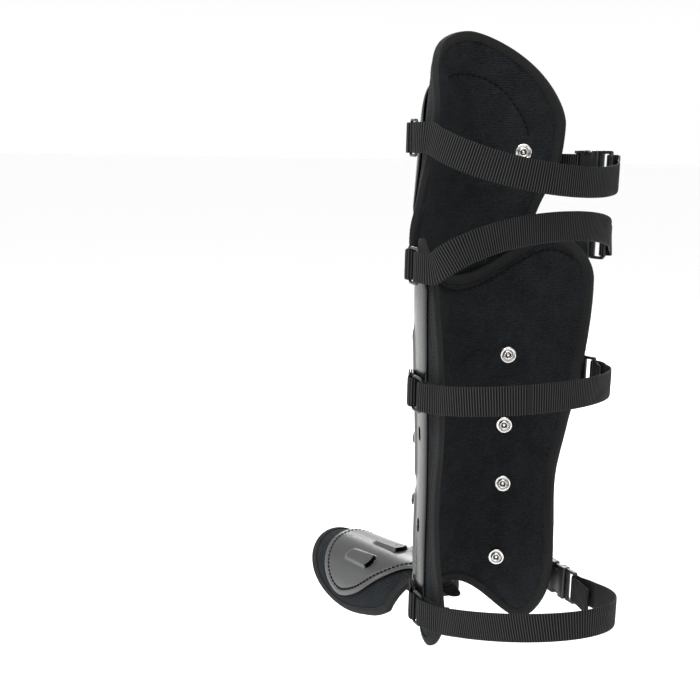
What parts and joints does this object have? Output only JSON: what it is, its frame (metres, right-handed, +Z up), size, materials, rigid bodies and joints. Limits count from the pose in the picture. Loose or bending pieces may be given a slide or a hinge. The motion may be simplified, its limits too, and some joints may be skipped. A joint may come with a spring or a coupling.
{
  "type": "leg guard",
  "caption": "Padded knee, shin and instep guard with hard black shells, riveted liners, bound edges and webbing straps with side release buckles",
  "frame": {"origin": "on the inner face of the shin panel at its front line, 250 mm above its lowest edge, where the shin rests", "axes": "+Z up the leg, -Y to the front of the leg, -X to the outer side, where the buckles are"},
  "size_m": [0.221, 0.4062, 0.5902],
  "materials": {
    "brushed_lining": "black brushed loop fabric over foam, matt",
    "twill_binding": "black twill tape, matt",
    "black_plastic": "moulded black plastic, satin",
    "nylon_webbing": "black ribbed nylon webbing",
    "buckle_plastic": "black acetal, satin",
    "nickel": "bright nickel plate"
  },
  "bodies": {
    "root": {"ankle_anchor": "nylon_webbing", "ankle_loop": "buckle_plastic", "ankle_plug": "buckle_plastic", "ankle_socket": "buckle_plastic", "ankle_strap": "nylon_webbing", "ankle_tab": "nylon_webbing", "calf_anchor": "nylon_webbing", "calf_loop": "buckle_plastic", "calf_plug": "buckle_plastic", "calf_socket": "buckle_plastic", "calf_strap": "nylon_webbing", "calf_tab": "nylon_webbing", "foot_binding": "twill_binding", "foot_pad": "brushed_lining", "foot_plate": "black_plastic", "foot_tongue": "brushed_lining", "knee_anchor": "nylon_webbing", "knee_binding": "twill_binding", "knee_liner": "brushed_lining", "knee_loop": "buckle_plastic", "knee_plug": "buckle_plastic", "knee_shell": "black_plastic", "knee_socket": "buckle_plastic", "knee_strap": "nylon_webbing", "knee_tab": "nylon_webbing", "rivet_knee_left": "nickel", "rivet_knee_right": "nickel", "rivet_shin_1_left": "nickel", "rivet_shin_1_right": "nickel", "rivet_shin_2_left": "nickel", "rivet_shin_2_right": "nickel", "rivet_shin_3_left": "nickel", "rivet_shin_3_right": "nickel", "rivet_shin_4_left": "nickel", "rivet_shin_4_right": "nickel", "shin_anchor": "nylon_webbing", "shin_binding": "twill_binding", "shin_liner": "brushed_lining", "shin_loop": "buckle_plastic", "shin_plug": "buckle_plastic", "shin_shell": "black_plastic", "shin_socket": "buckle_plastic", "shin_strap": "nylon_webbing", "shin_tab": "nylon_webbing"}
  },
  "joints": []
}
